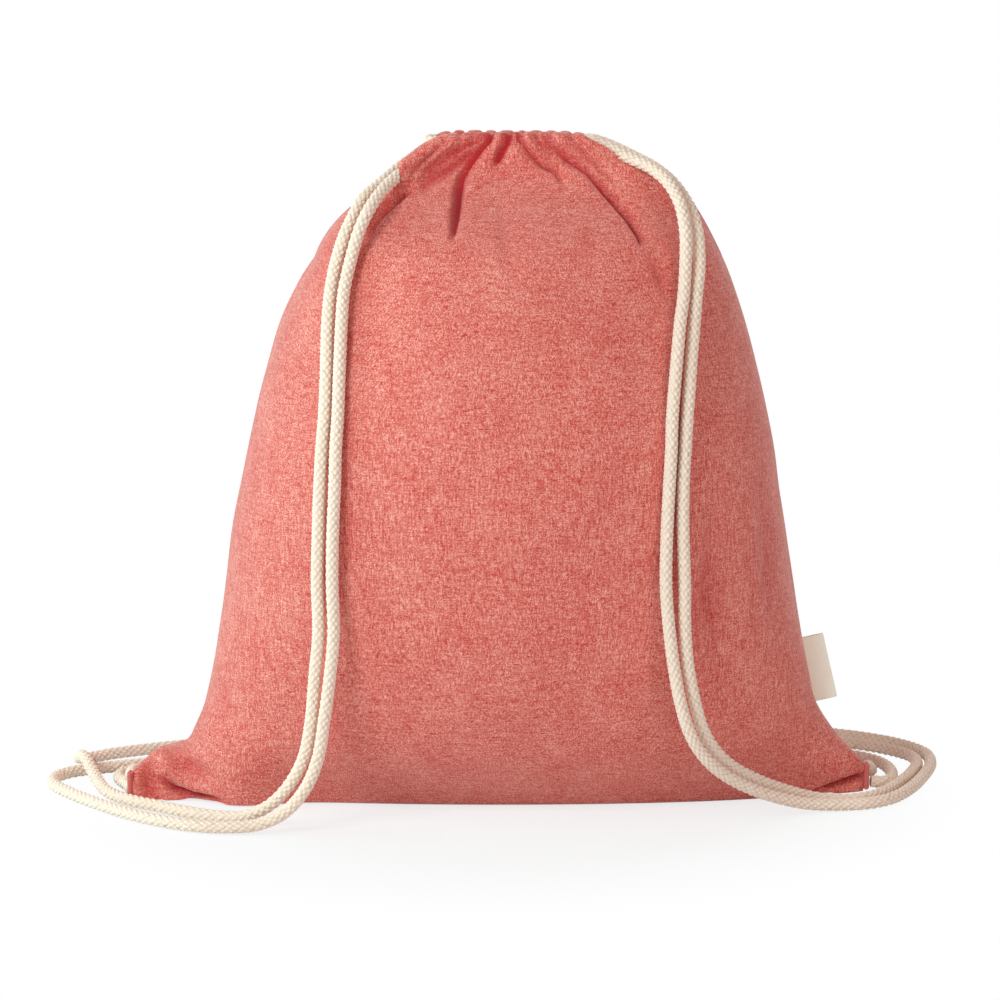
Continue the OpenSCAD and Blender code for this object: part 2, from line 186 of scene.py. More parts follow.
def relief(height, strength, distance):
    """Fine relief of the surface; distance is in metres."""
    bump = nodes.new("ShaderNodeBump")
    bump.inputs["Strength"].default_value = strength
    bump.inputs["Distance"].default_value = distance
    links.new(height, bump.inputs["Height"])
    links.new(bump.outputs["Normal"], shader.inputs["Normal"])


cotton_cord, nodes, links, shader = new_material("natural cotton braid")
shader.inputs["Roughness"].default_value = 0.92
shader.inputs["Specular IOR Level"].default_value = 0.1
crown_in = nodes.new("ShaderNodeAttribute")
crown_in.attribute_name = "crown"
lay_in = nodes.new("ShaderNodeUVMap")
lay_in.uv_map = "lay"
# Painted shade: cream on the strands, darkening to brown in the braid's valleys, standing in for the shade
# between the strands.
strand_tone_and_valley_shade = tones(crown_in.outputs["Fac"], (0.0, (0.55, 0.43, 0.30, 1)), (0.75, (0.99, 0.82, 0.71, 1)),
                   (0.35, (0.91, 0.73, 0.59, 1)))
stretch = nodes.new("ShaderNodeMapping")
stretch.inputs["Scale"].default_value = (26, 420, 1)
links.new(lay_in.outputs["UV"], stretch.inputs["Vector"])
fleck = nodes.new("ShaderNodeTexNoise")
fleck.inputs["Scale"].default_value = 1.0
fleck.inputs["Detail"].default_value = 3.0
links.new(stretch.outputs["Vector"], fleck.inputs["Vector"])
fleck_tone = tones(fleck.outputs["Fac"], (0.3, (0.80, 0.76, 0.70, 1)), (0.7, (1, 1, 1, 1)))
cord_colour = nodes.new("ShaderNodeMix")
cord_colour.data_type = "RGBA"
cord_colour.blend_type = "MULTIPLY"
cord_colour.inputs["Factor"].default_value = 0.55
links.new(strand_tone_and_valley_shade, cord_colour.inputs["A"])
links.new(fleck_tone, cord_colour.inputs["B"])
links.new(cord_colour.outputs["Result"], shader.inputs["Base Color"])
relief(fleck.outputs["Fac"], 0.2, 0.0002)

left_front_route = [
    (-30.3, -9, 325.65), (-34, -9, 325.65), (-39, -10, 324.7), (-45, -13.7, 321.2), (-51, -19.8, 316.8),
    (-56.2, -28, 312.6), (-60.8, -37.2, 307.4), (-65.2, -44.6, 300.6), (-69.2, -48.4, 291.4), (-73, -51, 278),
    (-76, -56.5, 264), (-77, -63.5, 250), (-77.5, -70, 236), (-78, -75.5, 220), (-78.5, -79.5, 205),
    (-79.5, -82.5, 190), (-80, -85, 172), (-81, -86, 150), (-81.5, -86, 125), (-81, -86, 100), (-83, -86, 78),
    (-86, -86, 56), (-89, -86, 38), (-95, -86, 23), (-105, -86.5, 11), (-118, -87, 4.7), (-133, -87.5, 3.4),
    (-152, -84, 3.4), (-173, -71, 3.4), (-190, -55, 3.4), (-205, -37, 3.4), (-219, -18, 3.4), (-229, 0, 3.4),
    (-230, 15, 3.4), (-223, 27, 3.4), (-210, 35, 3.4), (-195, 42, 3.4), (-178, 50, 3.4), (-162, 56, 3.4),
    (-148, 57, 3.4), (-138, 53, 3.4), (-134, 43, 3.4), (-138, 33, 3.4), (-148, 29, 3.4), (-162, 29, 3.4),
    (-176, 31.5, 3.4), (-188, 31, 3.4), (-196, 24.5, 3.4), (-197, 14, 3.4), (-193, 3, 3.5),
    (-189.2, -6.5, 3.8), (-188, -15, 4.2)]
left_rear_route = [
    (-30.3, 9, 325.65), (-35, 9, 325.65), (-41.8, 5.8, 324.8), (-49, -2, 321), (-55, -10, 316.5),
    (-61, -19.5, 311.8), (-67.6, -30.6, 306.6), (-72, -38, 298.8), (-76.3, -43.3, 289.5), (-80.5, -47, 276),
    (-83, -52, 262), (-84, -59, 249), (-84.3, -65.5, 235), (-84.6, -71.5, 219), (-85.3, -75.5, 204),
    (-86.5, -78.5, 189), (-87.5, -81, 171), (-88.3, -82, 150), (-89, -82, 125), (-88.5, -82.5, 100),
    (-90.5, -82.5, 78), (-92.5, -82, 56), (-96, -81, 38), (-103, -79, 23.5), (-113, -76, 12), (-126, -72, 5),
    (-140, -66, 3.4), (-155, -58, 3.4), (-171, -46, 3.4), (-187, -33.5, 3.4), (-200, -15.5, 3.4),
    (-208, 6, 5.6), (-216, 27, 11.3), (-221, 44, 7), (-218, 58, 3.4), (-206, 68, 3.4), (-187, 79, 3.4),
    (-165, 89, 3.4), (-140, 92, 3.4), (-117, 86, 3.4), (-104, 70, 3.4), (-106, 51, 3.4), (-120, 35, 3.4),
    (-138, 23, 3.4), (-155, 20.5, 3.4), (-170, 20.5, 3.6), (-180.5, 18, 5.6), (-186.8, 10, 8.7),
    (-188.5, -1, 10.5), (-188, -15, 11)]
right_front_route = [
    (42.3, -9, 332.95), (47, -9, 332.95), (54.5, -10, 330.6), (63.5, -13.3, 326), (75, -20.5, 320.9),
    (83, -29.3, 314.3), (88, -38.8, 305.7), (90, -44.9, 297), (90.8, -48.4, 288), (90.5, -51.5, 275),
    (89.5, -57, 262), (87.5, -64.5, 249), (86, -71, 235), (84.5, -76.5, 220), (83.3, -80.5, 205),
    (82.8, -84, 190), (81.8, -86.5, 172), (80.8, -88, 150), (80.5, -88, 125), (82, -88, 105), (84.5, -88, 85),
    (88, -87.5, 66), (92.5, -86, 51), (99, -82.5, 39), (109, -76, 28), (123, -66, 18), (139, -55, 10),
    (155, -47, 5), (171, -42.5, 3.4), (186, -39, 3.4), (199, -28, 3.4), (210, -8, 3.4), (219, 17, 3.4),
    (226, 44, 3.4), (226, 68, 3.4), (217, 87, 3.4), (202, 102, 3.4), (182, 114, 3.4), (158, 120, 3.4),
    (136, 113, 3.4), (122, 97, 3.4), (119, 76, 3.4), (128, 57, 3.4), (146, 46, 3.4), (166, 42, 3.4),
    (181, 40.5, 3.4), (189.5, 34.5, 3.4), (192.8, 24, 5), (190, 12.5, 10), (188.3, 3.8, 11.5)]
right_rear_route = [
    (42.3, 9, 332.95), (47, 9, 332.95), (57, 7, 329.5), (66.5, 2.3, 325.2), (76.5, -5.5, 320.4),
    (84.3, -15.5, 314.8), (90.2, -26, 307.8), (94.4, -35.2, 300), (96.9, -42, 290), (97.5, -47, 275),
    (96, -52.5, 262), (94.7, -59, 249), (93.3, -65.5, 235), (92, -71.5, 220), (90.8, -76, 205),
    (89.8, -80, 190), (88.8, -83, 172), (88.8, -84.5, 150), (89.8, -84.5, 125), (90, -84.5, 105),
    (91.5, -84, 85), (95, -82, 66.5), (99, -78.5, 52), (105, -73.5, 40), (114.5, -65.5, 29),
    (128.5, -54.5, 19), (143.5, -43.5, 11), (158, -36, 5.5), (172, -33, 3.4), (184, -29, 3.4),
    (194.5, -18, 3.4), (204, 0, 3.4), (213, 22, 3.4), (219, 45, 3.4), (217.5, 63, 3.4), (207, 78, 3.4),
    (191, 91, 3.4), (173, 99, 3.4), (158, 99, 3.4), (147.5, 94.5, 3.4), (143, 84, 3.4), (147.5, 73.5, 3.4),
    (158, 69, 3.4), (174, 68, 3.4), (189, 62, 3.4), (199.5, 49, 3.4), (203.5, 33, 3.4), (203, 17, 3.4),
    (201, 7, 4), (197, 1.5, 4.4), (190.4, 0, 5)]
strand_plan = (
    ("left_strap_front_strand", left_front_route, "front_lip", (-39, -10, 325), (-56, -28, 313)),
    ("left_strap_rear_strand", left_rear_route, "back_lip", (-35, 9, 326), (-61, -20, 312)),
    ("right_strap_front_strand", right_front_route, "front_lip", (47, -9, 333), (75, -20, 321)),
    ("right_strap_rear_strand", right_rear_route, "back_lip", (47, 9, 333), (84, -15, 315)))
for node, points, lip, near, far in strand_plan:
    strand, centreline, length = braided_cord(node.replace("strap", "strap_braid"), points)
    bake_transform(strand)
    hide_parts(node)

# Cords inside the hems: the same two cords run once right round the mouth, the right one above the left.
# Each turns from the front hem into the back hem in a tight bight at the far end of the mouth.
hem_left, hem_right, hem_y, bight_radius = -30.0, 42.0, 9.0, 5.0
run_squeeze, run_gap = 0.78, 0.3
for cord, level, end in (("left", 325.65, 1), ("right", 332.95, -1)):
    for place, y, lip in (("front", -hem_y, "front_lip"), ("rear", hem_y, "back_lip")):
        stations = [(x, y, level) for x in (hem_left, -12, 6, 24, hem_right)]
        run, _, _ = braided_cord(f"{cord}_cord_{place}_braid", stations, squeeze=run_squeeze)
        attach(run, lip)
        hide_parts(f"{cord}_cord_{place}_run")
        foot = hem_right + run_gap if end > 0 else hem_left - run_gap
        outer = y / hem_y * bight_radius
        quarter = [(foot - end * run_gap, y, level)]
        for a in range(0, 91, 15):
            quarter.append((foot + end * bight_radius * sin(radians(a)),
                            y - outer + outer * cos(radians(a)), level))
        quarter.append((foot + end * bight_radius, 0, level))
        bight, _, _ = braided_cord(f"{cord}_cord_{place}_bight", quarter)
        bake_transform(bight)
        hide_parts(f"{cord}_cord_bight")

# Panels and hems: two pieces of chambray, red one way of the weave and undyed the other, with slubs in the
# yarn, sewn inside out along the sides and the bottom, then turned, stuffed and drawn shut. Each top edge is
# stitched down inside as a tunnel for the cords: drawn up, it is a row of gathers with sharp folds below.
sack_w, neck_z, sack_d, base_d = 372.0, 320.0, 200.0, 60.0
left_fill, right_fill = 155.0, 160.0
left_turn, left_crease, crease_lean = 20.0, 152.0, 0.65
foot_bulge, bulge_x, bulge_width = 17.0, -137.0, 28.0
half_w, half_d = sack_w / 2, sack_d / 2
# Outlines and depth of the filled sack: share of its height, then share of half its width or depth
left_outline = ((0, 1.003), (0.044, 1.003), (0.0625, 0.967), (0.0737, 0.935), (0.0787, 0.88),
                (0.0875, 0.857), (0.1, 0.845), (0.15, 0.81), (0.3, 0.757), (0.47, 0.715), (0.7, 0.625),
                (0.82, 0.545), (0.9, 0.45))
right_outline = ((0, 1.003), (0.045, 1.003), (0.09, 0.933), (0.15, 0.866), (0.2, 0.845), (0.28, 0.82),
                 (0.47, 0.767), (0.7, 0.69), (0.82, 0.628), (0.9, 0.567))
fullness = ((0, base_d / sack_d), (0.11, 0.66), (0.25, 0.88), (0.4, 0.98), (0.53, 1), (0.65, 0.95),
            (0.78, 0.82), (0.885, 0.62))
shoulder = 0.86
slope_steps, shoulder_pull, left_pull = 100, 1.45, 0.45
brow_in, brow_back, brow_up = 0.35, 20, 44
right_end_pull, left_end_pull, end_back, end_up = -95, 42, -8, 10
slit_from, seam_from = 0.84, 0.93
# Stitch line and top edge of each hem: share of the hem's length, then the point in millimetres
front_rim = ((0, (-48.5, -22.4, 314.5)), (0.1, (-40, -18.6, 317)), (0.23, (-29.5, -16, 319.2)),
             (0.4, (-13.5, -14.8, 320.4)), (0.6, (5.5, -14.5, 321)), (0.8, (25.5, -14.8, 322)),
             (0.92, (40.5, -15.2, 323.6)), (1, (58, -14.6, 326.8)))
front_crest = ((0, (-51, -20.5, 321.8)), (0.08, (-44.5, -15.6, 326.6)), (0.15, (-38, -12.6, 331.4)),
               (0.23, (-30, -10.4, 335.2)), (0.33, (-20.5, -9.6, 336.5)), (0.47, (-7.5, -9.4, 336.9)),
               (0.6, (5, -9.3, 337.1)), (0.74, (18, -9.3, 337.1)), (0.86, (29.5, -9.3, 336.9)),
               (0.95, (38, -9.2, 336.3)), (1, (42.5, -9, 335)))
back_rim = ((0, (-40, 12.5, 316.5)), (0.2, (-26, 14, 319.5)), (0.5, (5, 14.4, 320.8)),
            (0.8, (36, 14, 321.5)), (1, (53, 11.5, 324)))
back_crest = ((0, (-38, 9.8, 330)), (0.15, (-28, 9.4, 335.8)), (0.3, (-14, 9.3, 336.6)),
              (0.5, (5, 9.3, 336.7)), (0.8, (31, 9.3, 336.6)), (0.93, (39, 9.2, 336)), (1, (43, 9, 334.4)))
# Valleys between the gathers of each hem, across the hem in millimetres
front_valleys = (-20, -13, -4, 5, 11, 18.5, 25, 35.5)
back_valleys = (-40, -33, -24, -17, -8, -1, 8, 14, 22, 29, 36, 45)
valley_width, crown_width = 1.2, 4
# Folds as the camera sees them, or sees the back turned to it, in thousandths of the picture: points, their
# depth in millimetres, the width, the side that lies over the fold, 1 for the right of the way the points
# run and -1 for the left, and its kind: 1 for a soft valley, 2 for a sharp fold and 4 for an open slot. Each
# fold is also painted darker in its hollow as shade, the more so the deeper it is.
front_folds = (
    (((493, 136), (490, 145), (484, 153), (474, 164), (466, 178), (463, 192), (460, 212), (456, 230),
      (452, 241)), (4, 6, 7, 7, 6.5, 6, 5, 3, 0.3), 11, -1, 4),
    (((512, 132), (510, 146), (504, 157), (494, 167)), (4, 6, 5.5, 0.5), 11, -1, 4),
    (((516, 132), (518, 143), (527, 155), (540, 167), (554, 174), (564, 186)), (4, 7, 7, 6, 5, 0.5), 8, 1, 2),
    (((541, 136), (551, 148), (565, 161), (585, 174), (605, 195), (625, 217), (638, 235), (642, 247)),
     (2, 4, 6, 7, 8, 8, 5, 0.3), 10, 1, 2),
    (((493, 132), (471, 143), (450, 156), (430, 169), (418, 181)), (4, 6, 6, 5, 0.4), 7, 1, 1),
    (((487, 144), (468, 156), (450, 167), (428, 180), (418, 192)), (4, 6, 6, 5, 0.4), 8, 1, 1),
    (((420, 186), (402, 197), (387, 210), (375, 224), (367, 243)), (0.5, 4, 5, 5, 0.4), 9, -1, 2),
    (((534, 133), (545, 147), (560, 161)), (3, 3.5, 0.4), 6, -1, 2),
    (((572, 139), (588, 155), (606, 172), (624, 188)), (2, 2.6, 2.2, 0.3), 8, -1, 2),
    (((444, 141), (426, 156), (412, 172)), (2, 4, 2), 7, 1, 2),
    (((500, 200), (503, 235), (508, 270)), (0.2, 1.2, 0.2), 22, 1, 2),
    (((648, 252), (660, 275), (668, 300)), (0.3, 1.6, 0.3), 14, 1, 2),
    (((709, 500), (705, 590), (713, 680)), (0.3, 2.2, 0.3), 20, 1, 2),
    (((755, 470), (765, 560), (770, 640)), (0.2, 1.6, 0.2), 20, 1, 2),
    (((160, 747), (168, 764), (182, 780), (198, 791)), (-2, -4, -4, -1), 8, 1, 2),
    (((174, 752), (185, 764), (200, 774), (218, 781)), (2, 4, 3, 0.5), 14, -1, 1),
    (((160, 775), (176, 786), (194, 793), (210, 798), (228, 803)), (2, 6, 6.5, 4, 0.3), 9, -1, 2),
    (((150, 766), (150, 780), (152, 798)), (2, 4, 3), 12, -1, 1),
    (((800, 800), (816, 796), (843, 786), (870, 776)), (2, 5, 6.5, 6), 7, 1, 4))
back_folds = (
    (((465, 138), (452, 156), (432, 182), (414, 214)), (2, 4, 7, 0.3), 13, 1, 2),
    (((486, 136), (481, 156), (472, 180), (465, 203)), (2, 5, 5, 0.3), 11, 1, 2),
    (((502, 134), (503, 156), (499, 188), (502, 220)), (2, 6, 8, 0.3), 12, -1, 2),
    (((521, 136), (530, 154), (543, 175), (553, 194)), (2, 4, 4, 0.3), 10, -1, 2),
    (((540, 137), (558, 156), (582, 182), (604, 214)), (2, 4.5, 6, 0.3), 13, -1, 2),
    (((558, 139), (578, 154), (602, 172), (622, 194)), (1.5, 3, 3, 0.3), 10, -1, 2),
    (((844, 752), (824, 772), (803, 792)), (1, 4, 2), 16, -1, 2),
    (((204, 796), (176, 786), (136, 762)), (1, 4, 3), 14, -1, 2))
picture_middle, picture_scale = 500, 3747.5


def along_stations(p, u):
    """Smooth curve through stations of place and value."""
    i = 0
    while i < len(p) - 2 and u > p[i + 1][0]:
        i += 1
    before, after = max(i - 1, 0), min(i + 2, len(p) - 1)
    h = p[i + 1][0] - p[i][0]
    t = (u - p[i][0]) / h
    m0 = (p[i + 1][1] - p[before][1]) / (p[i + 1][0] - p[before][0]) * h
    m1 = (p[after][1] - p[i][1]) / (p[after][0] - p[i][0]) * h
    return ((2 * t**3 - 3 * t**2 + 1) * p[i][1] + (t**3 - 2 * t**2 + t) * m0
            + (3 * t**2 - 2 * t**3) * p[i + 1][1] + (t**3 - t**2) * m1)


def ease(a, b, v):
    """Smooth step of v, from 0 at a to 1 at b."""
    t = min(max((v - a) / (b - a), 0), 1)
    return t * t * (3 - 2 * t)


def on_line(stations, share):
    """Point of a stitch line or top edge."""
    return Vector([along_stations([(s, p[k]) for s, p in stations], share) for k in range(3)])


def gather(valleys, x):
    """Height of the gathers across the hem, 0 in a valley and about 1 between two."""
    near = min(abs(x - v) for v in valleys)
    return (1 - exp(-(near / valley_width) ** 2)) * (0.8 + 0.2 * min(near / crown_width, 1))


def seen(p, facing):
    """Where the camera sees a point, or would see it with the sack's back turned to it."""
    x, y = p.x * facing, p.y * facing
    away = (y - camera_y) * cos(camera_drop) + (camera_z - p.z) * sin(camera_drop)
    rise = (y - camera_y) * sin(camera_drop) + (p.z - camera_z) * cos(camera_drop)
    return picture_middle + picture_scale * x / away, picture_middle - picture_scale * rise / away


def nearest_on_fold(points, depths, x, z):
    """Distance to a fold, the side it is on, the fold's depth there and its direction turned upright."""
    best = None
    for k in range(len(points) - 1):
        (ax, az), (bx, bz) = points[k], points[k + 1]
        dx, dz = bx - ax, bz - az
        run = (dx * dx + dz * dz) ** 0.5
        t = min(max(((x - ax) * dx + (z - az) * dz) / run**2, 0), 1)
        ex, ez = x - ax - t * dx, z - az - t * dz
        gap = (ex * ex + ez * ez) ** 0.5
        if best is None or gap < best[0]:
            depth = depths[k] + (depths[k + 1] - depths[k]) * t
            best = gap, ez * dx - ex * dz, depth, -dz / run, dx / run
    return best


fold_reach, lip_share, lip_place, lip_width = 2.6, 0.26, 0.25, 0.32
soft_fold, open_slot = 1, 4
slot_full_depth, slot_least_width = 5, 0.3
# Painted shade: a slot or a fold is painted fully dark red once it is this deep, standing in for the shade
# inside it.
slot_shade_depth, fold_shade_depth = 3, 6


def fold_shift(folds, x, z):
    """How far the folds near a point seen at x, z take it in, right and up, and how much shade is painted on
    it in their hollows.
    """
    into = ridge = right_by = up_by = crease = 0.0
    for points, depths, width, over, kind in folds:
        reach = fold_reach * width
        if not (min(p[0] for p in points) - reach < x < max(p[0] for p in points) + reach
                and min(p[1] for p in points) - reach < z < max(p[1] for p in points) + reach):
            continue
        gap, hand, depth, nx, nz = nearest_on_fold(points, depths, x, z)
        sharp = kind > soft_fold
        s = gap * (1 if hand >= 0 and sharp else -1) * (over if sharp else 1) / width
        if kind == open_slot:
            s /= slot_least_width + (1 - slot_least_width) * min(depth / slot_full_depth, 1)
        if s < 0:
            valley = exp(-(-s * 1.3) ** max(kind, 2))
            # Painted shade, darkest in the fold's hollow and fading to each side.
            fold_darkening = exp(-(-s * (1.15 if kind == open_slot else 1.45)) ** max(kind, 2))
            fold_darkening *= 1 if sharp else 0.75
        else:
            valley = exp(-(s * 3) ** 2)
            fold_darkening = exp(-(s * 4) ** 2)
            lip = lip_share * max(depth, 0) * exp(-((s - lip_place) / lip_width) ** 2)
            right_by -= over * nx * lip
            up_by += over * nz * lip
        darkening_depth = slot_shade_depth if kind == open_slot else fold_shade_depth
        crease = max(crease, min(depth / darkening_depth, 1) * fold_darkening)
        if depth > 0:
            into = max(into, depth * valley)
        else:
            ridge += depth * valley
    return into + ridge, right_by, up_by, crease


def cloth_point(u, angle, facing):
    """Point of a panel below the shoulder; facing is 1 for the front and -1 for the back."""
    side = -1 if angle < 0 else 1
    swing = radians(abs(angle))
    reach = half_w * along_stations(left_outline if side < 0 else right_outline, u)
    filled = min(reach, left_fill if side < 0 else right_fill)
    x = side * (filled * sin(swing) + (reach - filled) * ease(60, 90, abs(angle)))
    y = half_d * along_stations(fullness, u) * max(cos(swing), 0) ** (1 - 0.75 * ease(0.8, 1, u))
    return Vector((x, -facing * (y + 0.1), u * neck_z))


def panel_point(u, share, facing):
    """Point of a panel before its folds: over the shoulder it runs in to the stitch line."""
    angle = -90 + 180 * share
    if u <= shoulder:
        p = cloth_point(u, angle, facing)
        past = -p.x - left_crease - crease_lean * p.z
        p.y -= left_turn * ease(0, half_w - left_crease, past)
        if facing > 0:
            bulge = foot_bulge * exp(-((p.x - bulge_x) / bulge_width) ** 2)
            p.y -= bulge * ease(0.16, 0, u) * ease(1, 0.82, abs(2 * share - 1))
        return p
    t = (u - shoulder) / (1 - shoulder)
    foot = cloth_point(shoulder, angle, facing)
    below = cloth_point(shoulder - 1 / slope_steps, angle, facing)
    rise = (foot - below) * (1 - shoulder) * slope_steps * shoulder_pull
    rise.x *= 1 if share > 0.5 else left_pull
    rim = on_line(front_rim if facing > 0 else back_rim, share)
    edge = ease(0.7, 1, abs(2 * share - 1))
    brow = Vector((brow_in * (rim.x - foot.x), facing * brow_back, brow_up))
    end_pull = right_end_pull if share > 0.5 else left_end_pull
    brow = brow.lerp(Vector((end_pull, facing * end_back, end_up)), edge)
    p = ((2 * t**3 - 3 * t**2 + 1) * foot + (t**3 - 2 * t**2 + t) * rise
         + (3 * t**2 - 2 * t**3) * rim + (t**3 - t**2) * brow)
    slit = foot.y * (1 - ease(0, 0.8, t)) + rim.y * ease(slit_from, 1, t)
    hold = ease(seam_from, 1, abs(2 * share - 1))
    p.y += (slit - p.y) * hold
    if facing < 0 and hold > 0:
        sewn_to = panel_point(u, round(share), 1)
        sewn_to.y *= -1
        p = p.lerp(sewn_to, hold * (1 - ease(slit_from, 1, t)))
    return p


def moved_sheet(name, points, push, material):
    """Sheet on a grid of points in millimetres; push gives the shift and the painted fold shade at each of
    them.
    """
    up, across = len(points) - 1, len(points[0]) - 1
    bm = bmesh.new()
    bmesh.ops.create_grid(bm, x_segments=across, y_segments=up, size=1)
    # Painted shade of each point, which the cloth's colour reads.
    crease_layer = bm.verts.layers.float.new("crease")
    final, creases = [], []
    for i, row in enumerate(points):
        shifted = []
        creases.append([])
        for j, p in enumerate(row):
            over = row[min(j + 1, across)] - row[max(j - 1, 0)]
            rise = points[min(i + 1, up)][j] - points[max(i - 1, 0)][j]
            shift, crease = push(i, j, p, over.cross(rise).normalized())
            shifted.append(p + shift)
            creases[-1].append(crease)
        final.append(shifted)
    for v in bm.verts:
        j = round((v.co.x + 1) / 2 * across)
        i = round((v.co.y + 1) / 2 * up)
        v.co = final[i][j] / 1000
        v[crease_layer] = creases[i][j]
    return piece(name, bm, material), final


swell_height, swell_size = 2.0, 75
dent_height, dent_width, dent_length = 0.8, 28, 34
gather_height, gather_from = 1.4, 0.15
hem_fold_limit, panel_fold_limit = 2.8, 12


def cloth_shift(p, out, share, u, turn, facing, folds, valleys, crest, seed):
    """Shift of a point by filling, gathers and folds, and the shade painted into its folds; turn is its place
    round the hem.
    """
    swell = swell_height * noise.noise(Vector((p.x / swell_size, p.z / swell_size, seed)))
    swell += dent_height * noise.noise(Vector((p.x / dent_width, p.z / dent_length, seed + 5)))
    swell *= ease(0, 0.12, u) * (1 - 0.7 * ease(0.85, 1, u))
    lump = 0
    if turn > gather_from:
        lump = gather_height * ease(gather_from, 0.45, turn) * gather(valleys, on_line(crest, share).x)
    into, right_by, up_by, crease = fold_shift(folds, *seen(p, facing))
    limit = hem_fold_limit + panel_fold_limit * ease(1, 0.9, u)
    into = limit * tanh(into / limit)
    keep = 1 - ease(0.2, 0.52, turn)
    shift = out * (swell + lump - keep * into) + keep * Vector((facing * right_by, 0, up_by))
    edge = ease(1, seam_from, abs(2 * share - 1))
    return shift * edge, crease * edge


top_turn, inner_turn, low_turn = 0.5, 0.65, 0.85
least_tunnel, inside_y, roll_drop, low_rise = 3.4, 5.7, 3.6, 2.5
hem_round, layer_gap = 0.9, 0.7


def hem_point(share, turn, facing):
    """Point of the tunnel: up from the stitch line, over the top, down inside and back to the line."""
    rim = on_line(front_rim if facing > 0 else back_rim, share)
    crest = on_line(front_crest if facing > 0 else back_crest, share)
    tunnel = max(least_tunnel, crest.y * -facing - inside_y)
    inside = Vector((crest.x, crest.y + facing * tunnel, crest.z - roll_drop))
    low = Vector((rim.x * 0.6 + crest.x * 0.4, inside.y, rim.z + low_rise))
    if turn < top_turn:
        w = turn / top_turn
        p = rim.lerp(crest, w)
        p.y = rim.y + (crest.y - rim.y) * w**4 - facing * hem_round * sin(pi * w) ** 2
        p.z = rim.z + (crest.z - rim.z) * sin(pi / 2 * w)
    elif turn < inner_turn:
        w = pi / 2 * (turn - top_turn) / (inner_turn - top_turn)
        p = crest + Vector((0, (inside.y - crest.y) * sin(w), (inside.z - crest.z) * (1 - cos(w))))
    elif turn < low_turn:
        p = inside.lerp(low, (turn - inner_turn) / (low_turn - inner_turn))
    else:
        w = (turn - low_turn) / (1 - low_turn)
        p = low.lerp(rim + Vector((0, facing * layer_gap, 0.2)), w)
    return p


panel_columns = 330
base_rows, hem_rows = 8, 52
panel_levels = ([0.12 * k / 36 for k in range(36)] + [0.12 + 0.58 * k / 44 for k in range(44)]
                + [0.7 + 0.16 * k / 24 for k in range(24)]
                + [shoulder + (1 - shoulder) * k / 100 for k in range(101)])
hem_turns = [k / hem_rows for k in range(1, hem_rows + 1)]
stitch_row = base_rows + len(panel_levels) - 1
sewn_down = 0.8
# The cloth drawn into each side seam under the mouth makes a groove, which is also painted darker as shade.
seam_groove, groove_columns, groove_shade = 1.1, 1.3, 0.45
above_label, above_corner = (0.27, 0.33), (0.1, 0.16)


def sewn_panel(name, facing, folds, valleys, crest, seed):
    """Panel from its bottom seam up to the stitch line and round the tunnel, and its rows of points."""
    shares = [k / panel_columns for k in range(panel_columns + 1)]
    if facing < 0:
        shares.reverse()
    points = []
    for k in range(base_rows):
        t = k / base_rows
        row = []
        for share in shares:
            rim = panel_point(0, share, facing)
            seam_y = -left_turn * ease(0, half_w - left_crease, -rim.x - left_crease)
            row.append(Vector((rim.x * (0.99 + 0.01 * t), seam_y + (rim.y - seam_y) * t,
                               0.2 + 1.2 * sin(pi * t))))
        points.append(row)
    for u in panel_levels:
        points.append([panel_point(u, share, facing) for share in shares])
    for turn in hem_turns:
        points.append([hem_point(share, turn, facing) for share in shares])
    straight_out = Vector((0, -0.88 * facing, 0.47))

    def push(i, j, p, out):
        """Shift of the point in row i and column j, and the shade painted on it."""
        turn = hem_turns[i - stitch_row - 1] if i > stitch_row else 0
        if i < base_rows:
            return Vector(), 0
        if turn > sewn_down:
            held, _ = cloth_shift(points[stitch_row][j], straight_out, shares[j], 1, 0, facing, folds,
                                  valleys, crest, seed)
            return held * ease(0.82, 0.97, turn), 0
        u = panel_levels[min(i, stitch_row) - base_rows]
        out = out.lerp(straight_out, ease(0.95, 1, u) * ease(0.2, 0, turn)).normalized()
        shift, crease = cloth_shift(p, out, shares[j], u, turn, facing, folds, valleys, crest, seed)
        shift *= ease(sewn_down, 0.6, turn)
        side = 1 if shares[j] > 0.5 else -1
        drawn_in = exp(-(min(j, panel_columns - j) / groove_columns) ** 2) * ease(0.95, 0.88, u)
        drawn_in *= ease(*(above_label if side > 0 else above_corner), u)
        shift.x -= seam_groove * drawn_in * side
        # Painted shade in the seam groove.
        crease = max(crease, groove_shade * drawn_in)
        shift.z = max(shift.z, 0.2 - p.z)
        return shift, crease

    return moved_sheet(name, points, push, chambray)


chambray, nodes, links, shader = new_material("red and white chambray")
shader.inputs["Roughness"].default_value = 0.9
shader.inputs["Specular IOR Level"].default_value = 0.12
shader.inputs["Sheen Weight"].default_value = 0.42
shader.inputs["Sheen Roughness"].default_value = 0.45
shader.inputs["Sheen Tint"].default_value = (1.0, 0.90, 0.87, 1)
cloth_axes = nodes.new("ShaderNodeTexCoord").outputs["Object"]


def yarn_noise(axes, scale, detail, name):
    """Noise stretched along the yarns; scale is per metre of cloth."""
    squeeze = nodes.new("ShaderNodeMapping")
    squeeze.inputs["Scale"].default_value = scale
    links.new(axes, squeeze.inputs["Vector"])
    grain = nodes.new("ShaderNodeTexNoise")
    grain.name = name
    grain.inputs["Scale"].default_value = 1.0
    grain.inputs["Detail"].default_value = detail
    grain.inputs["Roughness"].default_value = 0.55
    links.new(squeeze.outputs["Vector"], grain.inputs["Vector"])
    return grain.outputs["Fac"]


def combine(kind, a, b=None, c=None):
    """Math node of one to three sockets or numbers."""
    step = nodes.new("ShaderNodeMath")
    step.operation = kind
    for socket, value in zip(step.inputs, (a, b, c)):
        if isinstance(value, (int, float)):
            socket.default_value = value
        elif value is not None:
            links.new(value, socket)
    return step.outputs["Value"]


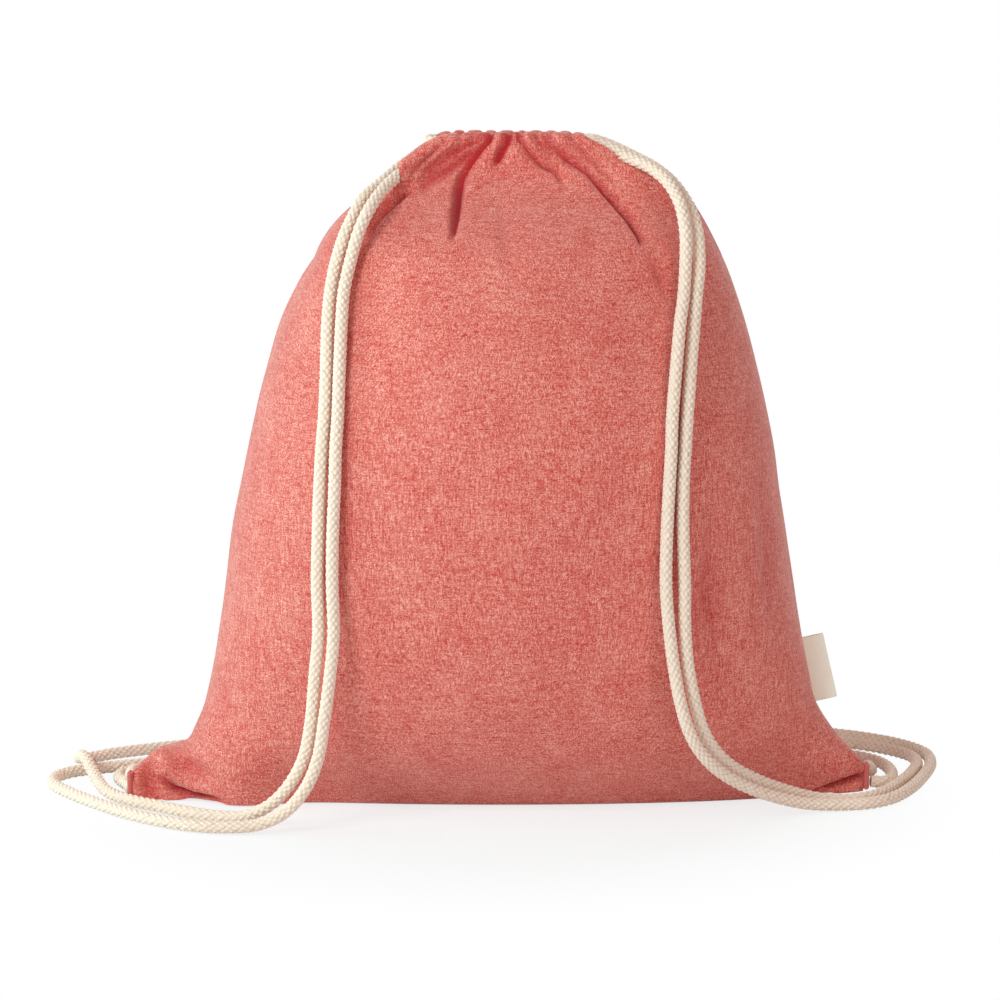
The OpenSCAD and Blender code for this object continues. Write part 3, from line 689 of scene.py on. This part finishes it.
warp = yarn_noise(cloth_axes, (1500, 1500, 130), 2, "warp yarns")
weft = yarn_noise(cloth_axes, (130, 130, 1500), 2, "weft yarns")
mottle = yarn_noise(cloth_axes, (60, 60, 42), 3, "uneven dye")
slub_over = yarn_noise(cloth_axes, (210, 210, 800), 1, "slubs in the weft")
slub_up = yarn_noise(cloth_axes, (800, 800, 210), 1, "slubs in the warp")
crossings = nodes.new("ShaderNodeVectorMath")
crossings.operation = "SNAP"
crossings.inputs[1].default_value = (0.0005, 0.0005, 0.0005)
links.new(cloth_axes, crossings.inputs[0])
broken_colour = nodes.new("ShaderNodeTexWhiteNoise")
links.new(crossings.outputs["Vector"], broken_colour.inputs["Vector"])
speck = broken_colour.outputs["Value"]
axes = nodes.new("ShaderNodeSeparateXYZ")
links.new(cloth_axes, axes.inputs["Vector"])
yarn_wave = 2 * pi / 0.00085
across = combine("ADD", axes.outputs["X"], axes.outputs["Y"])
over = combine("SINE", combine("MULTIPLY", across, yarn_wave))
under = combine("SINE", combine("MULTIPLY", axes.outputs["Z"], yarn_wave))
check = combine("MULTIPLY", over, under)
shade = combine("MULTIPLY_ADD", warp, 0.62, -0.29)
shade = combine("MULTIPLY_ADD", weft, 0.38, shade)
shade = combine("MULTIPLY_ADD", speck, 0.36, shade)
shade = combine("MULTIPLY_ADD", mottle, 0.21, shade)
shade = combine("MULTIPLY_ADD", check, 0.07, shade)
cloth_tone = tones(shade, (0.26, (0.55, 0.058, 0.050, 1)), (0.76, (0.90, 0.42, 0.345, 1)),
                   (0.50, (0.72, 0.172, 0.139, 1)))
slub_mask = nodes.new("ShaderNodeMapRange")
slub_mask.inputs["From Min"].default_value = 0.685
slub_mask.inputs["From Max"].default_value = 0.74
slub_mask.inputs["To Max"].default_value = 0.8
slubs = combine("MAXIMUM", slub_over, combine("SUBTRACT", slub_up, 0.02))
links.new(slubs, slub_mask.inputs["Value"])
slubbed = nodes.new("ShaderNodeMix")
slubbed.data_type = "RGBA"
slubbed.inputs["B"].default_value = (0.56, 0.035, 0.036, 1)
links.new(slub_mask.outputs["Result"], slubbed.inputs["Factor"])
links.new(cloth_tone, slubbed.inputs["A"])
# Painted shade: the cloth is painted deep dark red in fold hollows and in the side seam groove, standing in
# for the shade there.
crease_in = nodes.new("ShaderNodeAttribute")
crease_in.attribute_name = "crease"
creased = nodes.new("ShaderNodeMix")
creased.data_type = "RGBA"
creased.inputs["B"].default_value = (0.46, 0.012, 0.02, 1)
links.new(combine("MULTIPLY", crease_in.outputs["Fac"], 0.94), creased.inputs["Factor"])
links.new(slubbed.outputs["Result"], creased.inputs["A"])
links.new(creased.outputs["Result"], shader.inputs["Base Color"])
relief(combine("MULTIPLY_ADD", check, 0.3, combine("ADD", warp, weft)), 0.3, 0.00022)

front_cloth, front_rows = sewn_panel("front_cloth", 1, front_folds, front_valleys, front_crest, 7.0)
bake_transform(front_cloth)
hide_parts("front_panel", "front_hem")
back_cloth, back_rows = sewn_panel("back_cloth", -1, back_folds, back_valleys, back_crest, 31.0)
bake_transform(back_cloth)
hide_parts("back_panel", "back_hem")

# Hem stitching: a row of lockstitches in red thread below the cords. It goes through the panel and its
# turned-over edge, and closes the tunnel.
stitch_thick, stitch_columns, stitch_gap, stitch_margin = 0.5, 5, 2, 12
stitch_rise, stitch_sink = 0.35, 0.1
thread, nodes, links, shader = new_material("red sewing thread")
shader.inputs["Roughness"].default_value = 0.55
shader.inputs["Sheen Weight"].default_value = 0.15
where = nodes.new("ShaderNodeTexCoord")
twist = nodes.new("ShaderNodeTexNoise")
twist.inputs["Scale"].default_value = 2600
twist.inputs["Detail"].default_value = 2
links.new(where.outputs["Object"], twist.inputs["Vector"])
thread_tone = tones(twist.outputs["Fac"], (0, (0.46, 0.06, 0.055, 1)), (1, (0.76, 0.19, 0.16, 1)))
links.new(thread_tone, shader.inputs["Base Color"])
relief(twist.outputs["Fac"], 0.3, 0.0001)
for name, rows, lip in (("front", front_rows, "front_lip"), ("back", back_rows, "back_lip")):
    line, above, below = rows[stitch_row], rows[stitch_row + 1], rows[stitch_row - 1]
    bm = bmesh.new()
    for first in range(stitch_margin, panel_columns - stitch_margin, stitch_columns + stitch_gap):
        last = first + stitch_columns
        centre = first + stitch_columns // 2
        run = line[last] - line[first]
        out = run.cross(above[centre] - below[centre]).normalized()
        up = out.cross(run).normalized()
        for v in bmesh.ops.create_uvsphere(bm, u_segments=8, v_segments=6, radius=1)["verts"]:
            x, y, s = v.co
            v.co = (line[first] + run * (s + 1) / 2 + up * x * stitch_thick / 2
                    + out * (y * stitch_thick / 2 + stitch_rise * (1 - s * s) - stitch_sink)) / 1000
    bmesh.ops.recalc_face_normals(bm, faces=bm.faces)
    stitches = piece(f"{name}_hem_stitches", bm, thread)
    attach(stitches, lip)

# Seam allowances: the raw edges of the two panels, inside the sack. Both layers of cloth are sewn together
# along the sides and the bottom, and overcast with thread so that they don't fray.
overcast = chambray.copy()
overcast.name = "overcast cloth edge"
overcast.node_tree.nodes["Principled BSDF"].inputs["Sheen Weight"].default_value = 0.1
for node in ("left_side_seam", "right_side_seam", "bottom_seam"):
    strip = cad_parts[node]
    strip.data.materials.clear()
    strip.data.materials.append(overcast)

# Bar tacks: close zigzags of red thread, sewn by machine over the side seams. They hold the ends of the
# strands in the bottom corners.
tack_wraps, wrap_rows, tack_sides = 20, 6, 28
rib_depth = 0.16
for node in ("left_corner_tack", "right_corner_tack"):
    low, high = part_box(node)
    low, high = Vector(low) * 1000, Vector(high) * 1000
    middle = (low + high) / 2
    round_r = (high.x - low.x) / 2
    flat = (high.y - low.y) / 2 - round_r
    bm = bmesh.new()
    bmesh.ops.create_grid(bm, x_segments=tack_sides, y_segments=tack_wraps * wrap_rows, size=1)
    for v in bm.verts:
        a = 2 * pi * (v.co.x + 1) / 2
        t = (v.co.y + 1) / 2
        rib = abs(sin(pi * tack_wraps * (t + 0.5 / tack_wraps * (v.co.x + 1) / 2)))
        r = round_r * (1 - rib_depth + rib_depth * rib) * min(1, 12 * t + 0.3, 12 * (1 - t) + 0.3)
        stretched = flat * (1 if sin(a) > 0 else -1) * min(1, 3 * abs(sin(a)))
        v.co = Vector((middle.x + r * cos(a), middle.y + stretched + r * sin(a),
                       low.z + (high.z - low.z) * t)) / 1000
    bmesh.ops.remove_doubles(bm, verts=bm.verts, dist=1e-6)
    bmesh.ops.holes_fill(bm, edges=[e for e in bm.edges if e.is_boundary], sides=0)
    bmesh.ops.recalc_face_normals(bm, faces=bm.faces)
    tack = piece(node.replace("tack", "threads"), bm, thread)
    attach(tack, "sack")
    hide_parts(node)

# Label: a short piece of beige woven ribbon. It is folded back on itself, and its two ends are sewn into the
# right side seam near the bottom, so it can flap to either side.
label_length, label_reach, ribbon_gap, ribbon_thick = 33.9, 13.2, 0.55, 0.4
ribbon_bow, ribbon_waver, fold_round, sewn_flat = 0.5, 0.25, 0.06, 0.75
ribbon_columns, ribbon_rows = 60, 68
label_tilt = radians(13.265)
label_foot = Vector((159.35, 0, 46.73))
label_out = Vector((cos(label_tilt), 0, sin(label_tilt)))
label_up = Vector((-sin(label_tilt), 0, cos(label_tilt)))
ribbon, nodes, links, shader = new_material("beige woven ribbon")
shader.inputs["Roughness"].default_value = 0.7
shader.inputs["Sheen Weight"].default_value = 0.2
weave_in = nodes.new("ShaderNodeUVMap")
weave_in.uv_map = "weave"
axes = nodes.new("ShaderNodeSeparateXYZ")
links.new(weave_in.outputs["UV"], axes.inputs["Vector"])
rib = combine("SINE", combine("MULTIPLY", axes.outputs["Y"], 2 * pi / 0.0006))
pick = combine("SINE", combine("MULTIPLY", axes.outputs["X"], 2 * pi / 0.0004))
ribbon_grain = yarn_noise(weave_in.outputs["UV"], (900, 1600, 1), 2, "ribbon yarns")
ribbon_shade = combine("MULTIPLY_ADD", rib, 0.10, combine("MULTIPLY_ADD", pick, 0.05, ribbon_grain))
ribbon_tone = tones(ribbon_shade, (0.2, (0.98, 0.93, 0.78, 1)), (0.75, (1.0, 0.98, 0.86, 1)))
links.new(ribbon_tone, shader.inputs["Base Color"])
relief(ribbon_shade, 0.35, 0.00015)
bm = bmesh.new()
bmesh.ops.create_grid(bm, x_segments=ribbon_columns, y_segments=ribbon_rows, size=1)
weave = bm.loops.layers.uv.new("weave")
place = {}
for v in bm.verts:
    run, up = v.co.x, (v.co.y + 1) / 2
    out = label_reach * (1 - abs(run))
    apart = ribbon_gap * (1 if run > 0 else -1) * min(1, abs(run) / fold_round) ** 0.5
    apart *= 0.35 + 0.65 * min(1, abs(run) * 2.5)
    apart *= 1 - sewn_flat * ease(0.82, 1.0, abs(run))
    bow = ribbon_bow * sin(pi * up) * (out / label_reach) ** 2
    bow += ribbon_waver * noise.noise(Vector((out / 6, up * 2.5, 4)))
    sideways = Vector((0, apart - bow * out / label_reach, 0))
    v.co = (label_foot + label_out * out + label_up * (label_length * up) + sideways) / 1000
    place[v] = (label_reach * 2 * (run + 1) / 2000, label_length * up / 1000)
for face in bm.faces:
    for loop in face.loops:
        loop[weave].uv = place[loop.vert]
bmesh.ops.recalc_face_normals(bm, faces=bm.faces)
label = piece("folded_ribbon", bm, ribbon)
thick = label.modifiers.new("ribbon", "SOLIDIFY")
thick.thickness = ribbon_thick / 1000
thick.offset = 0
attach(label, "label")
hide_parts("side_label")

# Studio: a pale floor that runs into a white ground. A large soft lamp stands in front on the left, and
# weaker ones light the left side, the right and the back.
white, nodes, links, shader = new_material("pale floor")
nodes.remove(shader)
matte = nodes.new("ShaderNodeBsdfDiffuse")
matte.inputs["Color"].default_value = (0.90, 0.94, 0.945, 1)
glow = nodes.new("ShaderNodeEmission")
glow.inputs["Strength"].default_value = 1.0


def shown_rays():
    """1 for the rays that show a surface, straight or mirrored, and 0 for the light it throws on others."""
    rays = nodes.new("ShaderNodeLightPath")
    mirrored = combine("MAXIMUM", rays.outputs["Is Glossy Ray"], rays.outputs["Is Transmission Ray"])
    return combine("MAXIMUM", rays.outputs["Is Camera Ray"], mirrored)


where = nodes.new("ShaderNodeTexCoord")
distance = nodes.new("ShaderNodeVectorMath")
distance.operation = "LENGTH"
links.new(where.outputs["Object"], distance.inputs[0])
far = nodes.new("ShaderNodeMapRange")
far.interpolation_type = "SMOOTHSTEP"
far.inputs["From Min"].default_value = 0.12
far.inputs["From Max"].default_value = 0.25
far.inputs["To Min"].default_value = 0.72
far.inputs["To Max"].default_value = 1.0
links.new(distance.outputs["Value"], far.inputs["Value"])
ground = nodes.new("ShaderNodeMixShader")
links.new(combine("MULTIPLY", shown_rays(), far.outputs["Result"]), ground.inputs["Fac"])
links.new(matte.outputs["BSDF"], ground.inputs[1])
links.new(glow.outputs["Emission"], ground.inputs[2])
links.new(ground.outputs["Shader"], nodes["Material Output"].inputs["Surface"])
bm = bmesh.new()
floor_size, floor_drop = 6, 0.0004
bmesh.ops.create_grid(bm, x_segments=1, y_segments=1, size=floor_size)
for v in bm.verts:
    v.co.z = -floor_drop
floor_sheet = piece("floor", bm, white, smooth=False)

sky = bpy.data.worlds.new("white ground")
sky.use_nodes = True
scene.world = sky
nodes, links = sky.node_tree.nodes, sky.node_tree.links
light_from = nodes["Background"]
light_from.inputs["Color"].default_value = (1, 0.92, 0.89, 1)
light_from.inputs["Strength"].default_value = 0.34
seen_behind = nodes.new("ShaderNodeBackground")
seen_behind.inputs["Color"].default_value = (1, 1, 1, 1)
both = nodes.new("ShaderNodeMixShader")
links.new(shown_rays(), both.inputs["Fac"])
links.new(light_from.outputs["Background"], both.inputs[1])
links.new(seen_behind.outputs["Background"], both.inputs[2])
links.new(both.outputs["Shader"], nodes["World Output"].inputs["Surface"])


def soft_lamp(name, place, aim, width, watts, colour):
    """Round area lamp that looks at a point."""
    light = bpy.data.lights.new(name, "AREA")
    light.shape = "DISK"
    light.size = width
    light.energy = watts
    light.color = colour
    lamp = bpy.data.objects.new(name, light)
    lamp.location = place
    lamp.rotation_euler = (Vector(aim) - Vector(place)).to_track_quat("-Z", "Y").to_euler()
    scene.collection.objects.link(lamp)


soft_lamp("key lamp", (-1.65, -1.75, 1.65), (0, 0, 0.17), 1.4, 44.5, (0.86, 1.0, 1.0))
soft_lamp("left lamp", (-1.9, 0.0, 0.8), (0, 0, 0.17), 1.2, 19, (0.66, 1.0, 1.0))
soft_lamp("right lamp", (1.2, -1.75, 0.8), (0, 0, 0.15), 1.2, 8, (1.0, 0.82, 0.76))
soft_lamp("back lamp", (0.9, 1.9, 1.3), (0, 0, 0.17), 1.4, 14, (1.0, 1.0, 1.0))
